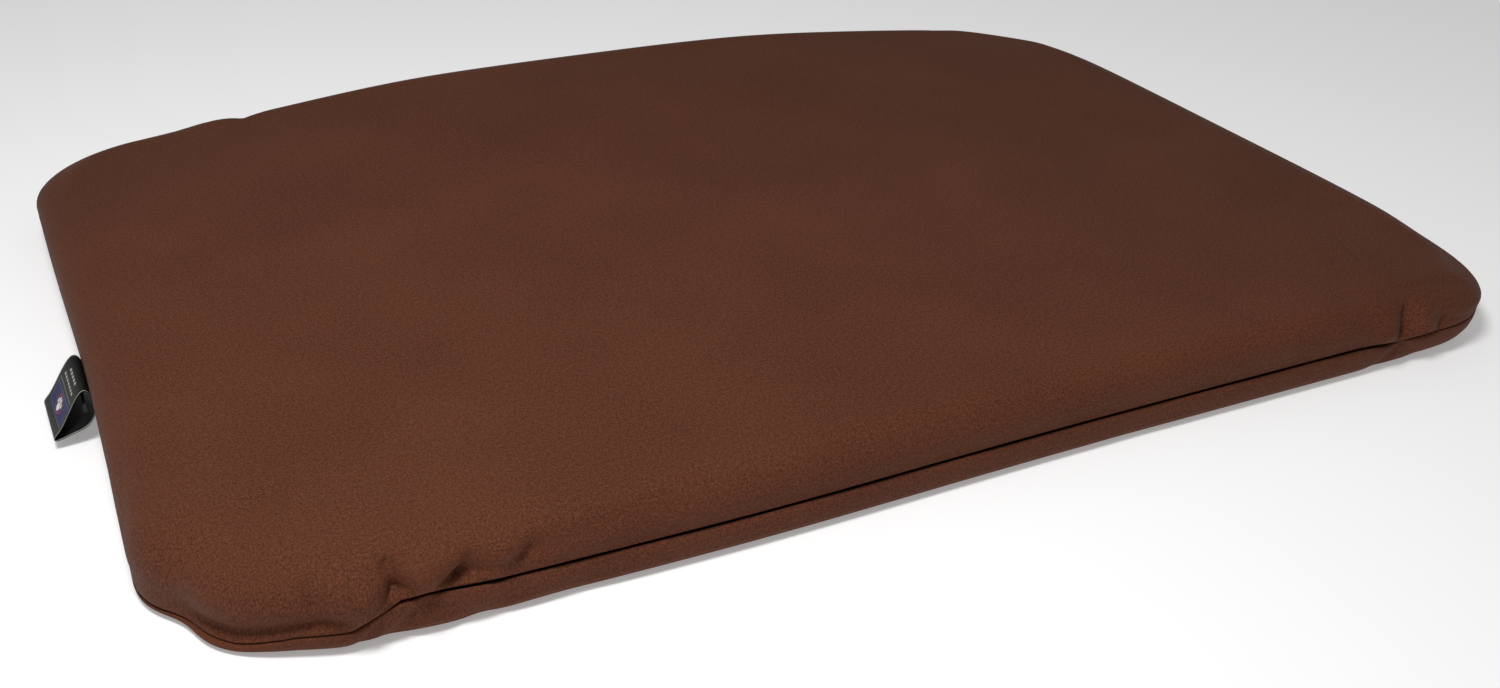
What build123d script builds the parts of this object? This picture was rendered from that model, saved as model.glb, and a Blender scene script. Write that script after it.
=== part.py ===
"""Pet cushion bed: a flat rounded-rectangle pad in a zipped fabric cover.

Millimetres, +Z up.  The underside rests on z = 0, X is the long way and -Y is
the zipped front side.  The origin is on the floor under the cushion's middle.
"""
from build123d import *
import os

os.makedirs("parts", exist_ok=True)

# ---- the cushion as a whole --------------------------------------------
LENGTH = 900
WIDTH = 620
HEIGHT = 50
CORNER_RADIUS = 90
BOW_RIGHT = 6           # how far each side bulges past a straight line
BOW_BACK = 18
BOW_LEFT = 2
WIDEST_Z = 22           # height where the side stands out furthest
TOP_ROLL = 62           # how far in the top edge rolls over
BOTTOM_ROLL = 18
FLAT_OVERLAP = 4        # overlap of the rolled edge and the flat middle

# ---- layers, as insets from the outside --------------------------------
FABRIC = 0.8
SEAM_Z = 20
SEAM_GAP = 0.3
SEAM_THREAD = (1.0, 1.8)
SEAM_THREAD_HALF = 1.5
LINER = (2.2, 2.7)
LINER_THREAD = (2.75, 3.35)
LINER_THREAD_HALF = 1.1
WADDING = (3.6, 8.6)
FOAM = 8.9
PAD_SETBACK = 12.2      # the pad stands back to make room for the zip

# ---- zip opening in the front side --------------------------------------
FRONT_Y = -WIDTH / 2
ZIP_LEFT = -346
ZIP_RIGHT = 326
ZIP_LENGTH = ZIP_RIGHT - ZIP_LEFT
ZIP_MID = (ZIP_LEFT + ZIP_RIGHT) / 2
LIP_CUT_Z = 28          # the upper lip joins the plain top panel here
LIP_CUT_DEPTH = 26      # the lower lip joins the plain bottom panel here
LIP_END_GAP = 0.3       # the lips stop just short of the opening's ends
TAPE = (11.1, 11.7)     # depths behind the front of the cushion
TAPE_GAP_HALF = 1.2
TAPE_TOP_Z = 33
TAPE_BOTTOM_Z = 7.5
COIL = (9.3, 11.0)
COIL_IN = 0.2
COIL_OUT = 3.0
SEWING = (9.6, 10.15)
SEWING_UPPER_Z = 30
SEWING_LOWER_Z = 9.5
SEWING_HALF = 0.5
ZIP_MARGIN = 8          # tape hidden past each end of the opening

# ---- slider, pull tab and stops -----------------------------------------
SLIDER_X = 303
SLIDER_LENGTH = 11
SLIDER_FRONT = (7.9, 9.0)
SLIDER_BACK = (12.0, 13.1)
SLIDER_HALF_NOSE = 4.5
SLIDER_HALF_TAIL = 3.8
FLANGE_DEPTH = 10.8
FLANGE = 0.5
DIVIDER_LENGTH = 3.6
DIVIDER_HALF = 0.9
BRIDGE_FRONT = 5.2
BRIDGE_HALF_LENGTH = 3.6
BRIDGE_BAR = 0.9
BRIDGE_HALF_WIDTH = 0.8
PULL_PIVOT_DEPTH = 6.9
PULL_LENGTH = 21
PULL_HALF_WIDTH = 1.8
PULL_HALF_THICK = 0.5
PULL_WINDOW_HALF = 1.0
PULL_WINDOW = (0.5, 4.9)
STOP_LENGTH = 3
BOTTOM_STOP_X = -321.5
TOP_STOP_X = 311
TACK_DEPTH = (1.3, 2.3)
TACK_LENGTH = 3.5
TACK_HALF = 2.5

# ---- label -----------------------------------------------------------------
LABEL_Y = -45
LABEL_WIDTH = 45
LABEL_THICK = 0.4
LABEL_SIDE_X = -LENGTH / 2
TAIL_LENGTH = 2
TAIL_HALF = 0.5
TAIL_ROOM = 0.3


def outline(inset, setback):
    """Plan outline: four sides, three of them bowed, with rounded corners."""
    half_x = LENGTH / 2 - inset
    back_y = WIDTH / 2 - inset
    front_y = -back_y + setback
    left_x = -half_x + BOW_LEFT
    right_x = half_x - BOW_RIGHT
    shoulder_y = back_y - BOW_BACK
    with BuildSketch() as plan:
        with BuildLine():
            Line((left_x, front_y), (right_x, front_y))
            SagittaArc((right_x, front_y), (right_x, shoulder_y), -BOW_RIGHT)
            SagittaArc((right_x, shoulder_y), (left_x, shoulder_y), -BOW_BACK)
            SagittaArc((left_x, shoulder_y), (left_x, front_y), -BOW_LEFT)
        make_face()
        fillet(plan.vertices(), CORNER_RADIUS - inset)
    return plan.sketch


def pad_solid(inset, setback=0):
    """The cushion's shape, shrunk by inset: a rolled edge round a flat middle."""
    edge_y = FRONT_Y + inset + setback
    top_in = TOP_ROLL - inset
    top_up = HEIGHT - WIDEST_Z - inset
    low_in = BOTTOM_ROLL - inset
    low_down = WIDEST_Z - inset
    floor_z = WIDEST_Z - low_down
    roof_z = WIDEST_Z + top_up
    plan = outline(inset, setback)
    deep_y = edge_y + TOP_ROLL + 2 * FLAT_OVERLAP
    with BuildPart() as body:
        with BuildSketch(Plane.YZ):
            with BuildLine():
                EllipticalCenterArc(
                    (edge_y + top_in, WIDEST_Z), top_in, top_up, start_angle=90, arc_size=90
                )
                EllipticalCenterArc(
                    (edge_y + low_in, WIDEST_Z), low_in, low_down, start_angle=180, arc_size=90
                )
                Polyline(
                    (edge_y + low_in, floor_z),
                    (deep_y, floor_z),
                    (deep_y, roof_z),
                    (edge_y + top_in, roof_z),
                )
            make_face()
        sweep(path=plan.face().outer_wire())
        with BuildSketch(Plane.XY.offset(floor_z)):
            add(plan)
            offset(amount=-(TOP_ROLL + FLAT_OVERLAP), mode=Mode.REPLACE)
        extrude(amount=roof_z - floor_z)
    return body.part


def depth_y(depth):
    """World Y of a depth measured in from the front side."""
    return FRONT_Y + depth


# ---- the nested shapes every layer is cut from -------------------------------
cover_outside = pad_solid(0)
cover_inside = pad_solid(FABRIC)
thread_outside = pad_solid(SEAM_THREAD[0])
thread_inside = pad_solid(SEAM_THREAD[1])
liner_outside = pad_solid(LINER[0], PAD_SETBACK)
liner_inside = pad_solid(LINER[1], PAD_SETBACK)
liner_thread_outside = pad_solid(LINER_THREAD[0], PAD_SETBACK)
liner_thread_inside = pad_solid(LINER_THREAD[1], PAD_SETBACK)
wadding_outside = pad_solid(WADDING[0], PAD_SETBACK)
wadding_inside = pad_solid(WADDING[1], PAD_SETBACK)

label_room_centre = (LABEL_SIDE_X, LABEL_Y, SEAM_Z)
label_room_size = (2 * TAIL_LENGTH, LABEL_WIDTH + 2 * TAIL_ROOM, 2 * (TAIL_HALF + TAIL_ROOM))

# ---- cover: top panel with the upper zip lip ---------------------------------
# The lip rolls under the front edge, then turns in and runs up beside the tape.
upper_lip_outline = [
    (depth_y(1.75), LIP_CUT_Z + 0.3),
    (depth_y(1.5), LIP_CUT_Z),
    (depth_y(0.66), 26.1),
    (depth_y(0.22), 24.6),
    (depth_y(1.0), 22.9),
    (depth_y(3.1), 22.2),
    (depth_y(6.15), 22.2),
    (depth_y(7.4), 23.45),
    (depth_y(7.4), 24.95),
    (depth_y(11.0), 26.95),
    (depth_y(11.0), TAPE_TOP_Z),
    (depth_y(10.2), TAPE_TOP_Z),
    (depth_y(10.2), 27.45),
    (depth_y(6.6), 25.45),
    (depth_y(6.6), 23.75),
    (depth_y(5.85), 23.0),
    (depth_y(3.3), 23.0),
    (depth_y(1.75), 23.55),
    (depth_y(1.05), 24.65),
    (depth_y(1.45), 25.95),
    (depth_y(2.25), LIP_CUT_Z),
    (depth_y(2.3), LIP_CUT_Z + 0.3),
]
with BuildPart() as cover_top_panel:
    add(cover_outside)
    add(cover_inside, mode=Mode.SUBTRACT)
    split(bisect_by=Plane.XY.offset(SEAM_Z + SEAM_GAP / 2), keep=Keep.TOP)
    with Locations((ZIP_MID, FRONT_Y, LIP_CUT_Z)):
        Box(
            ZIP_LENGTH, 40, 20,
            align=(Align.CENTER, Align.CENTER, Align.MAX), mode=Mode.SUBTRACT,
        )
    with Locations(label_room_centre):
        Box(*label_room_size, mode=Mode.SUBTRACT)
    with BuildSketch(Plane.YZ.offset(ZIP_LEFT + LIP_END_GAP)):
        with BuildLine():
            Polyline(*upper_lip_outline, close=True)
        make_face()
    extrude(amount=ZIP_LENGTH - 2 * LIP_END_GAP)
cover_top_panel.part.label = "cover_top_panel"

# ---- cover: bottom panel with the lower zip lip --------------------------------
# The lower lip stands back under the upper one, folds over and runs down the tape.
LOWER_ROLL = 17.6
LOWER_RISE = 16.7
lower_hem_outline = [
    (depth_y(6.0), 16.5),
    (depth_y(6.0), 17.2),
    (depth_y(6.3), 17.5),
    (depth_y(7.2), 17.5),
    (depth_y(7.5), 17.2),
    (depth_y(7.5), 14.8),
    (depth_y(11.0), 12.6),
    (depth_y(11.0), TAPE_BOTTOM_Z),
    (depth_y(10.2), TAPE_BOTTOM_Z),
    (depth_y(10.2), 12.2),
    (depth_y(6.9), 14.2),
    (depth_y(6.7), 16.5),
]
with BuildPart() as cover_bottom_panel:
    add(cover_outside)
    add(cover_inside, mode=Mode.SUBTRACT)
    split(bisect_by=Plane.XY.offset(SEAM_Z - SEAM_GAP / 2), keep=Keep.BOTTOM)
    with Locations((ZIP_MID, depth_y(LIP_CUT_DEPTH), -1)):
        Box(
            ZIP_LENGTH, 40, 30,
            align=(Align.CENTER, Align.MAX, Align.MIN), mode=Mode.SUBTRACT,
        )
    with Locations(label_room_centre):
        Box(*label_room_size, mode=Mode.SUBTRACT)
    with BuildSketch(Plane.YZ.offset(ZIP_LEFT + LIP_END_GAP)):
        with BuildLine():
            Line((depth_y(LIP_CUT_DEPTH + 0.3), FABRIC / 2), (depth_y(24), FABRIC / 2))
            EllipticalCenterArc(
                (depth_y(24), 17.1), LOWER_ROLL, LOWER_RISE, start_angle=180, arc_size=90
            )
        trace(line_width=FABRIC)
        with BuildLine():
            Polyline(*lower_hem_outline, close=True)
        make_face()
    extrude(amount=ZIP_LENGTH - 2 * LIP_END_GAP)
cover_bottom_panel.part.label = "cover_bottom_panel"

# ---- cover: thread of the seam round the other sides ---------------------------
with BuildPart() as seam_thread:
    add(thread_outside)
    add(thread_inside, mode=Mode.SUBTRACT)
    split(bisect_by=Plane.XY.offset(SEAM_Z - SEAM_THREAD_HALF), keep=Keep.TOP)
    split(bisect_by=Plane.XY.offset(SEAM_Z + SEAM_THREAD_HALF), keep=Keep.BOTTOM)
    with Locations((ZIP_MID, FRONT_Y, SEAM_Z)):
        Box(ZIP_LENGTH + 2 * TACK_LENGTH + 1, 40, 20, mode=Mode.SUBTRACT)
    with Locations(label_room_centre):
        Box(*label_room_size, mode=Mode.SUBTRACT)
seam_thread.part.label = "seam_thread"


# ---- zip: tapes, coils, sewing --------------------------------------------------
def front_strip(depths, low_z, high_z, left_x, right_x):
    """A straight strip along the front side, between two depths and heights."""
    return (
        ((left_x + right_x) / 2, depth_y(sum(depths) / 2), (low_z + high_z) / 2),
        (right_x - left_x, depths[1] - depths[0], high_z - low_z),
    )


tape_left = ZIP_LEFT - ZIP_MARGIN
tape_right = ZIP_RIGHT + ZIP_MARGIN
coil_left = BOTTOM_STOP_X + STOP_LENGTH + 0.3
slider_nose = SLIDER_X + SLIDER_LENGTH / 2
coil_right = slider_nose - DIVIDER_LENGTH - 0.9

spot, size = front_strip(TAPE, SEAM_Z + TAPE_GAP_HALF, TAPE_TOP_Z, tape_left, tape_right)
with BuildPart() as zip_tape_upper:
    with Locations(spot):
        Box(*size)
zip_tape_upper.part.label = "zip_tape_upper"

spot, size = front_strip(TAPE, TAPE_BOTTOM_Z, SEAM_Z - TAPE_GAP_HALF, tape_left, tape_right)
with BuildPart() as zip_tape_lower:
    with Locations(spot):
        Box(*size)
zip_tape_lower.part.label = "zip_tape_lower"

spot, size = front_strip(COIL, SEAM_Z + COIL_IN, SEAM_Z + COIL_OUT, coil_left, coil_right)
with BuildPart() as zip_coil_upper:
    with Locations(spot):
        Box(*size)
    fillet(zip_coil_upper.edges().filter_by(Axis.X).group_by(Axis.Y)[0], 0.6)
zip_coil_upper.part.label = "zip_coil_upper"

spot, size = front_strip(COIL, SEAM_Z - COIL_OUT, SEAM_Z - COIL_IN, coil_left, coil_right)
with BuildPart() as zip_coil_lower:
    with Locations(spot):
        Box(*size)
    fillet(zip_coil_lower.edges().filter_by(Axis.X).group_by(Axis.Y)[0], 0.6)
zip_coil_lower.part.label = "zip_coil_lower"

spot, size = front_strip(
    SEWING, SEWING_UPPER_Z - SEWING_HALF, SEWING_UPPER_Z + SEWING_HALF, ZIP_LEFT, ZIP_RIGHT
)
with BuildPart() as zip_sewing_upper:
    with Locations(spot):
        Box(*size)
zip_sewing_upper.part.label = "zip_sewing_upper"

spot, size = front_strip(
    SEWING, SEWING_LOWER_Z - SEWING_HALF, SEWING_LOWER_Z + SEWING_HALF, ZIP_LEFT, ZIP_RIGHT
)
with BuildPart() as zip_sewing_lower:
    with Locations(spot):
        Box(*size)
zip_sewing_lower.part.label = "zip_sewing_lower"

# ---- zip: slider body -------------------------------------------------------------
# Two plates joined at the nose by the divider, with side flanges that guide the
# coils and an arched bridge that holds the pull tab.
slider_tail = SLIDER_X - SLIDER_LENGTH / 2
shield = [
    (slider_tail, SEAM_Z - SLIDER_HALF_TAIL),
    (slider_nose, SEAM_Z - SLIDER_HALF_NOSE),
    (slider_nose, SEAM_Z + SLIDER_HALF_NOSE),
    (slider_tail, SEAM_Z + SLIDER_HALF_TAIL),
]
guide = [
    (slider_tail, SEAM_Z - SLIDER_HALF_TAIL + FLANGE),
    (slider_nose, SEAM_Z - SLIDER_HALF_NOSE + FLANGE),
    (slider_nose, SEAM_Z + SLIDER_HALF_NOSE - FLANGE),
    (slider_tail, SEAM_Z + SLIDER_HALF_TAIL - FLANGE),
]
front_plane = Plane(origin=(0, depth_y(SLIDER_FRONT[0]), 0), x_dir=(1, 0, 0), z_dir=(0, -1, 0))
back_plane = Plane(origin=(0, depth_y(SLIDER_BACK[0]), 0), x_dir=(1, 0, 0), z_dir=(0, -1, 0))
divider_spot = (slider_nose - DIVIDER_LENGTH / 2 - 0.3, depth_y(10.5), SEAM_Z)
divider_size = (DIVIDER_LENGTH, SLIDER_BACK[0] - SLIDER_FRONT[1] + 0.4, 2 * DIVIDER_HALF)
with BuildPart() as zip_slider_body:
    with BuildSketch(front_plane):
        with BuildLine():
            Polyline(*shield, close=True)
        make_face()
    extrude(amount=-(FLANGE_DEPTH - SLIDER_FRONT[0]))
    with BuildSketch(front_plane.offset(-(SLIDER_FRONT[1] - SLIDER_FRONT[0]))):
        with BuildLine():
            Polyline(*guide, close=True)
        make_face()
    extrude(amount=-5, mode=Mode.SUBTRACT)
    with BuildSketch(back_plane):
        with BuildLine():
            Polyline(*shield, close=True)
        make_face()
    extrude(amount=-(SLIDER_BACK[1] - SLIDER_BACK[0]))
    with Locations(divider_spot):
        Box(*divider_size)
    with BuildSketch(Plane.XY.offset(SEAM_Z - BRIDGE_HALF_WIDTH)):
        with BuildLine():
            Polyline(
                (SLIDER_X - BRIDGE_HALF_LENGTH, depth_y(SLIDER_FRONT[0] + 0.2)),
                (SLIDER_X - BRIDGE_HALF_LENGTH + 0.3, depth_y(BRIDGE_FRONT + 0.8)),
                (SLIDER_X - BRIDGE_HALF_LENGTH + 1.2, depth_y(BRIDGE_FRONT)),
                (SLIDER_X + BRIDGE_HALF_LENGTH - 1.2, depth_y(BRIDGE_FRONT)),
                (SLIDER_X + BRIDGE_HALF_LENGTH - 0.3, depth_y(BRIDGE_FRONT + 0.8)),
                (SLIDER_X + BRIDGE_HALF_LENGTH, depth_y(SLIDER_FRONT[0] + 0.2)),
                close=True,
            )
        make_face()
        with Locations((SLIDER_X, depth_y(BRIDGE_FRONT + BRIDGE_BAR + 1))):
            Rectangle(2 * (BRIDGE_HALF_LENGTH - 1.2), 2, mode=Mode.SUBTRACT)
    extrude(amount=2 * BRIDGE_HALF_WIDTH)
zip_slider_body.part.label = "zip_slider_body"

# ---- zip: pull tab, lying towards -X behind the lips ------------------------------
pull_plane = Plane(
    origin=(SLIDER_X, depth_y(PULL_PIVOT_DEPTH - PULL_HALF_THICK), SEAM_Z),
    x_dir=(1, 0, 0),
    z_dir=(0, -1, 0),
)
with BuildPart() as zip_pull_tab:
    with BuildSketch(pull_plane):
        with Locations((PULL_HALF_THICK, 0)):
            Rectangle(
                PULL_LENGTH + PULL_HALF_THICK, 2 * PULL_HALF_WIDTH,
                align=(Align.MAX, Align.CENTER),
            )
        with Locations((-PULL_WINDOW[0], 0)):
            Rectangle(
                PULL_WINDOW[1] - PULL_WINDOW[0], 2 * PULL_WINDOW_HALF,
                align=(Align.MAX, Align.CENTER), mode=Mode.SUBTRACT,
            )
    extrude(amount=-2 * PULL_HALF_THICK)
    tip_edges = zip_pull_tab.edges().filter_by(Axis.Y).group_by(Axis.X)[0]
    fillet(tip_edges, 1.2)
    pivot_edges = zip_pull_tab.edges().filter_by(Axis.Z).group_by(Axis.X)[-1]
    fillet(pivot_edges, 0.35)
zip_pull_tab.part.label = "zip_pull_tab"

# ---- zip: stops --------------------------------------------------------------------
with BuildPart() as zip_bottom_stop:
    with Locations((BOTTOM_STOP_X + STOP_LENGTH / 2, depth_y(10.55), SEAM_Z)):
        Box(STOP_LENGTH, 3.3, 6.4)
    for side in (-1, 1):
        with Locations((BOTTOM_STOP_X + STOP_LENGTH / 2, depth_y(11.4), SEAM_Z + side * 3.2)):
            Box(STOP_LENGTH + 1, 0.7, 4.2, mode=Mode.SUBTRACT)
zip_bottom_stop.part.label = "zip_bottom_stop"

with BuildPart() as zip_top_stop_upper:
    with Locations((TOP_STOP_X, depth_y(11.4), SEAM_Z + TAPE_GAP_HALF + 0.7)):
        Box(STOP_LENGTH, 2.2, 2.2)
    with Locations((TOP_STOP_X, depth_y(11.4), SEAM_Z + TAPE_GAP_HALF + 1.2)):
        Box(STOP_LENGTH + 1, 0.7, 2.5, mode=Mode.SUBTRACT)
zip_top_stop_upper.part.label = "zip_top_stop_upper"

with BuildPart() as zip_top_stop_lower:
    with Locations((TOP_STOP_X, depth_y(11.4), SEAM_Z - TAPE_GAP_HALF - 0.7)):
        Box(STOP_LENGTH, 2.2, 2.2)
    with Locations((TOP_STOP_X, depth_y(11.4), SEAM_Z - TAPE_GAP_HALF - 1.2)):
        Box(STOP_LENGTH + 1, 0.7, 2.5, mode=Mode.SUBTRACT)
zip_top_stop_lower.part.label = "zip_top_stop_lower"

# ---- bar tacks that close each end of the zip opening -------------------------------
spot, size = front_strip(
    TACK_DEPTH, SEAM_Z - TACK_HALF, SEAM_Z + TACK_HALF,
    ZIP_LEFT - TACK_LENGTH, ZIP_LEFT - 0.2,
)
with BuildPart() as zip_bar_tack_left:
    with Locations(spot):
        Box(*size)
zip_bar_tack_left.part.label = "zip_bar_tack_left"

spot, size = front_strip(
    TACK_DEPTH, SEAM_Z - TACK_HALF, SEAM_Z + TACK_HALF,
    ZIP_RIGHT + 0.2, ZIP_RIGHT + TACK_LENGTH,
)
with BuildPart() as zip_bar_tack_right:
    with Locations(spot):
        Box(*size)
zip_bar_tack_right.part.label = "zip_bar_tack_right"

# ---- label: sewn-in tail and the folded loop outside -----------------------------------
with BuildPart() as label_tail:
    with Locations((LABEL_SIDE_X, LABEL_Y, SEAM_Z)):
        Box(TAIL_LENGTH, LABEL_WIDTH, 2 * TAIL_HALF, align=(Align.MIN, Align.CENTER, Align.CENTER))
label_tail.part.label = "label_tail"

loop_plane = Plane(
    origin=(LABEL_SIDE_X, LABEL_Y + LABEL_WIDTH / 2, 0), x_dir=(-1, 0, 0), z_dir=(0, 1, 0)
)
with BuildPart() as label_loop:
    with BuildSketch(loop_plane):
        with BuildLine():
            Spline(
                (0.6, 20.5), (3.5, 23.6), (7.5, 23.6), (12.0, 18.6), (16.2, 11.6), (18.8, 7.2),
                (18.2, 5.6), (13.0, 6.4), (6.5, 10.6), (2.2, 15.6), (0.6, 19.5),
            )
        trace(line_width=LABEL_THICK)
    extrude(amount=-LABEL_WIDTH)
label_loop.part.label = "label_loop"

# ---- inner pad: liner, wadding, foam ----------------------------------------------------
with BuildPart() as liner_top:
    add(liner_outside)
    add(liner_inside, mode=Mode.SUBTRACT)
    split(bisect_by=Plane.XY.offset(SEAM_Z + SEAM_GAP / 2), keep=Keep.TOP)
liner_top.part.label = "liner_top"

with BuildPart() as liner_bottom:
    add(liner_outside)
    add(liner_inside, mode=Mode.SUBTRACT)
    split(bisect_by=Plane.XY.offset(SEAM_Z - SEAM_GAP / 2), keep=Keep.BOTTOM)
liner_bottom.part.label = "liner_bottom"

with BuildPart() as liner_seam_thread:
    add(liner_thread_outside)
    add(liner_thread_inside, mode=Mode.SUBTRACT)
    split(bisect_by=Plane.XY.offset(SEAM_Z - LINER_THREAD_HALF), keep=Keep.TOP)
    split(bisect_by=Plane.XY.offset(SEAM_Z + LINER_THREAD_HALF), keep=Keep.BOTTOM)
liner_seam_thread.part.label = "liner_seam_thread"

with BuildPart() as wadding_top:
    add(wadding_outside)
    add(wadding_inside, mode=Mode.SUBTRACT)
    split(bisect_by=Plane.XY.offset(WIDEST_Z + SEAM_GAP / 2), keep=Keep.TOP)
wadding_top.part.label = "wadding_top"

with BuildPart() as wadding_bottom:
    add(wadding_outside)
    add(wadding_inside, mode=Mode.SUBTRACT)
    split(bisect_by=Plane.XY.offset(WIDEST_Z - SEAM_GAP / 2), keep=Keep.BOTTOM)
wadding_bottom.part.label = "wadding_bottom"

foam_shape = pad_solid(FOAM, PAD_SETBACK)
with BuildPart() as foam_core:
    add(foam_shape)
foam_core.part.label = "foam_core"

# ---- one file for each piece --------------------------------------------------------------
pieces = [
    cover_top_panel, cover_bottom_panel, seam_thread,
    zip_tape_upper, zip_tape_lower, zip_coil_upper, zip_coil_lower,
    zip_sewing_upper, zip_sewing_lower, zip_slider_body, zip_pull_tab,
    zip_bottom_stop, zip_top_stop_upper, zip_top_stop_lower,
    zip_bar_tack_left, zip_bar_tack_right, label_tail, label_loop,
    liner_top, liner_bottom, liner_seam_thread, wadding_top, wadding_bottom, foam_core,
]
for piece in pieces:
    export_step(piece.part, f"parts/{piece.part.label}.step")
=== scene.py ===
"""Looks of the pet cushion bed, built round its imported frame. Metres, +Z up."""

import math

import bpy
import numpy as np
from mathutils import Matrix, Vector
from mathutils.geometry import delaunay_2d_cdt


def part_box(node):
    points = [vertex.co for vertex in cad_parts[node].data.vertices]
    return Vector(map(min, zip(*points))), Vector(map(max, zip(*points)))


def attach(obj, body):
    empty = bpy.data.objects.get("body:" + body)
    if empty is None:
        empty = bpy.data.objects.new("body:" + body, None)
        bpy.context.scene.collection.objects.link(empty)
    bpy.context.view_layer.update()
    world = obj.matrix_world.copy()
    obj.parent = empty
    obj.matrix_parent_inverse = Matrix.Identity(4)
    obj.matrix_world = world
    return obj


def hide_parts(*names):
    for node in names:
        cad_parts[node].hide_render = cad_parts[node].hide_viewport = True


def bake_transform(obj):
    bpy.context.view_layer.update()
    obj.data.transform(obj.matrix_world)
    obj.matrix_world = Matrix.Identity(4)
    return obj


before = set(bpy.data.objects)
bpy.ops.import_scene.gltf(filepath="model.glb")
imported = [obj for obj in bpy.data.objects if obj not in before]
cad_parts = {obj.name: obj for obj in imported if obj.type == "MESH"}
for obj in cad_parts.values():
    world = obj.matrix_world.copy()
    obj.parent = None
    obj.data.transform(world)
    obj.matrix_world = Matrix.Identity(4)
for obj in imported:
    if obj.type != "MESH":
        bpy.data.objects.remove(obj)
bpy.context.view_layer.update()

MM = 0.001

# ---- sizes of the cushion, millimetres ---------------------------------------
HALF_LENGTH = 450.0
HALF_WIDTH = 310.0
CORNER = 90.0
BOW_RIGHT = 6.0
BOW_BACK = 18.0
BOW_LEFT = 2.0
BACK_SWELL = 12.0       # how far the stuffed back presses past its straight cut
BACK_RISE = 10.0        # how much fuller the back side is
CORNER_SLACK = 5.0      # how far the back left corner sinks
CORNER_POINT = {(-1, -1): -5.0, (1, -1): 8.0, (1, 1): -4.0, (-1, 1): 1.0}
# where the plan gives way or swells: (x, y, reach along x, reach along y, move x, move y)
PLAN_EASE = (
    (-450, -50, 80, 190, 5.6, 0.0),
    (-434, -258, 18, 18, 6.0, 3.0),
    (-150, -310, 150, 90, 0.0, -4.4),
    (-310, -310, 40, 60, 0.0, -2.4),
    (-385, -306, 24, 20, 0.0, 2.0),
    (450, 0, 60, 330, -3.5, 0.0),
    (446, -222, 30, 30, -3.0, 1.0),
    (420, 262, 70, 60, -5.0, -6.0),
    (120, 320, 160, 60, 0.0, 3.0),
)
# where the top lies lower or higher: (x, y, reach along x, reach along y, rise)
TOP_EASE = (
    (430, -262, 44, 48, -6.0),
    (445, 0, 40, 260, -1.5),
    (405, 262, 60, 60, -4.5),
    (-306, 300, 16, 45, 1.6),
    (-345, 280, 30, 60, -1.6),
)
# height of the seam along the slack left end of the front: (x, shift)
SEAM_SHIFT = (
    (-452, -15.0), (-415, -15.0), (-385, -8.0), (-360, -7.0), (-349, -2.0), (-336, 4.5),
    (-312, 3.5), (-285, 1.0), (-255, 0.0),
)
ROLL_IN = 66.0          # how far in the cloth's rings reach before the flat middle
CROWN = 2.2             # extra height in the middle of the top
SEAM_Z = 20.0
COLUMN_STEP = 3.0       # spacing of the cloth's columns round the edge
LATTICE_STEP = 9.0      # spacing of the cloth's points across the flat top
BASE_LATTICE_STEP = 16.0
ZIP_LEFT = -346.0
ZIP_RIGHT = 326.0
ZIP_FADE = 34.0         # length over which the zip lip turns into plain seam
CLOTH_THICK = 0.5


def smooth(edge_low, edge_high, value):
    """0 below edge_low, 1 above edge_high and a smooth step between."""
    t = np.clip((value - edge_low) / (edge_high - edge_low), 0.0, 1.0)
    return t * t * (3.0 - 2.0 * t)


def hump(value, centre, width):
    """A bell of height 1 at centre."""
    return np.exp(-(((value - centre) / width) ** 2))


# ---- the cushion's plan --------------------------------------------------------
def edge_columns(step=COLUMN_STEP, inset=0.0):
    """Points round the plan outline with outward directions, starting at the middle of
    the zipped front side and going towards +X."""
    half_x, half_y, radius = HALF_LENGTH - inset, HALF_WIDTH - inset, CORNER - inset
    straight_x, straight_y = half_x - radius, half_y - radius
    spots, facings = [], []

    def run(start, end, facing):
        count = max(2, round(math.dist(start, end) / step))
        for i in range(count):
            t = i / count
            spots.append([start[0] + t * (end[0] - start[0]), start[1] + t * (end[1] - start[1])])
            facings.append(facing)

    def turn(centre, start_angle):
        count = max(6, round(radius * math.pi / 2 / step))
        for i in range(count):
            angle = start_angle + math.pi / 2 * i / count
            facing = (math.cos(angle), math.sin(angle))
            spots.append([centre[0] + radius * facing[0], centre[1] + radius * facing[1]])
            facings.append(facing)

    run((0, -half_y), (straight_x, -half_y), (0, -1))
    turn((straight_x, -straight_y), -math.pi / 2)
    run((half_x, -straight_y), (half_x, straight_y), (1, 0))
    turn((straight_x, straight_y), 0)
    run((straight_x, half_y), (-straight_x, half_y), (0, 1))
    turn((-straight_x, straight_y), math.pi / 2)
    run((-half_x, straight_y), (-half_x, -straight_y), (-1, 0))
    turn((-straight_x, -straight_y), math.pi)
    run((-straight_x, -half_y), (0, -half_y), (0, -1))
    return np.array(spots, float), np.array(facings, float)


def bowed(points):
    """Gives the plan its gently bowed sides."""
    x, y = points[..., 0], points[..., 1]
    across, along = y / HALF_WIDTH, x / HALF_LENGTH
    right = -BOW_RIGHT * across**2 * np.clip(along, 0, None) ** 3
    left = BOW_LEFT * across**2 * np.clip(-along, 0, None) ** 3
    back = -BOW_BACK * along**2 * np.clip(across, 0, None) ** 2
    back += BACK_SWELL * np.clip(across, 0, None) ** 2 * (1 - along**2)
    result = points.copy()
    result[..., 0] = x + right + left
    result[..., 1] = y + back
    for at_x, at_y, reach_x, reach_y, move_x, move_y in PLAN_EASE:
        share = hump(x, at_x, reach_x) * hump(y, at_y, reach_y)
        result[..., 0] += share * move_x
        result[..., 1] += share * move_y
    return pointed(result)


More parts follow.
